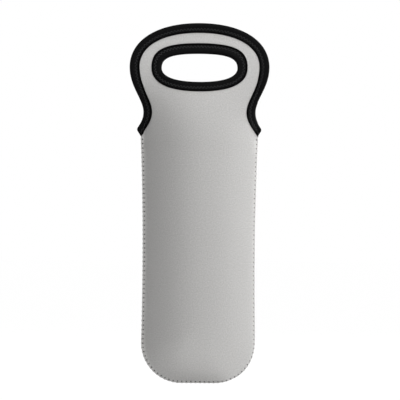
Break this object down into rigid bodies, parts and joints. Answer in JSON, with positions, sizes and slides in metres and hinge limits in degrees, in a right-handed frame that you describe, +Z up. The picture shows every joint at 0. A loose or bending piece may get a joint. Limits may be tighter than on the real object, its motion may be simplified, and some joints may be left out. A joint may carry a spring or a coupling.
{
  "type": "bottle carrier",
  "caption": "Soft foam-sheet tote for one bottle: two sewn panels form a rounded pouch that rises into a handle with a taped rim and oval hand hole.",
  "frame": {"origin": "middle of the bottom seam", "axes": "+Z up from the bottom seam to the handle, +X across the panels, the front panel on -Y"},
  "size_m": [0.1668, 0.0888, 0.4308],
  "materials": {
    "face_knit": "light grey plain jersey knit bonded to foam, matte",
    "foam": "black closed-cell foam rubber, seen only at cut edges and needle holes",
    "lining_knit": "near-black jersey knit, matte",
    "binding_tape": "black ribbed stretch tape, folded over the edge, soft sheen",
    "tape_thread": "black sewing thread",
    "seam_thread": "grey sewing thread"
  },
  "bodies": {
    "pouch": {"front_pouch_face_knit": "face_knit", "front_pouch_foam": "foam", "front_pouch_lining": "lining_knit", "back_pouch_face_knit": "face_knit", "back_pouch_foam": "foam", "back_pouch_lining": "lining_knit", "side_seam_stitching": "seam_thread"},
    "front_flap": {"front_flap_face_knit": "face_knit", "front_flap_foam": "foam", "front_flap_lining": "lining_knit", "front_rim_binding": "binding_tape", "front_rim_stitching": "tape_thread", "front_grip_binding": "binding_tape", "front_grip_stitching": "tape_thread"},
    "back_flap": {"back_flap_face_knit": "face_knit", "back_flap_foam": "foam", "back_flap_lining": "lining_knit", "back_rim_binding": "binding_tape", "back_rim_stitching": "tape_thread", "back_grip_binding": "binding_tape", "back_grip_stitching": "tape_thread"}
  },
  "joints": [
    {"name": "front_flap_swing", "type": "hinge", "parent": "pouch", "child": "front_flap", "pos_m": [0, -0.0445, 0.29385], "axis": [1, 0, 0], "range_deg": [0, 45], "stiffness_Nm_per_rad": 0.02},
    {"name": "back_flap_swing", "type": "hinge", "parent": "pouch", "child": "back_flap", "pos_m": [0, 0.0445, 0.29385], "axis": [-1, 0, 0], "range_deg": [0, 45], "stiffness_Nm_per_rad": 0.02}
  ]
}
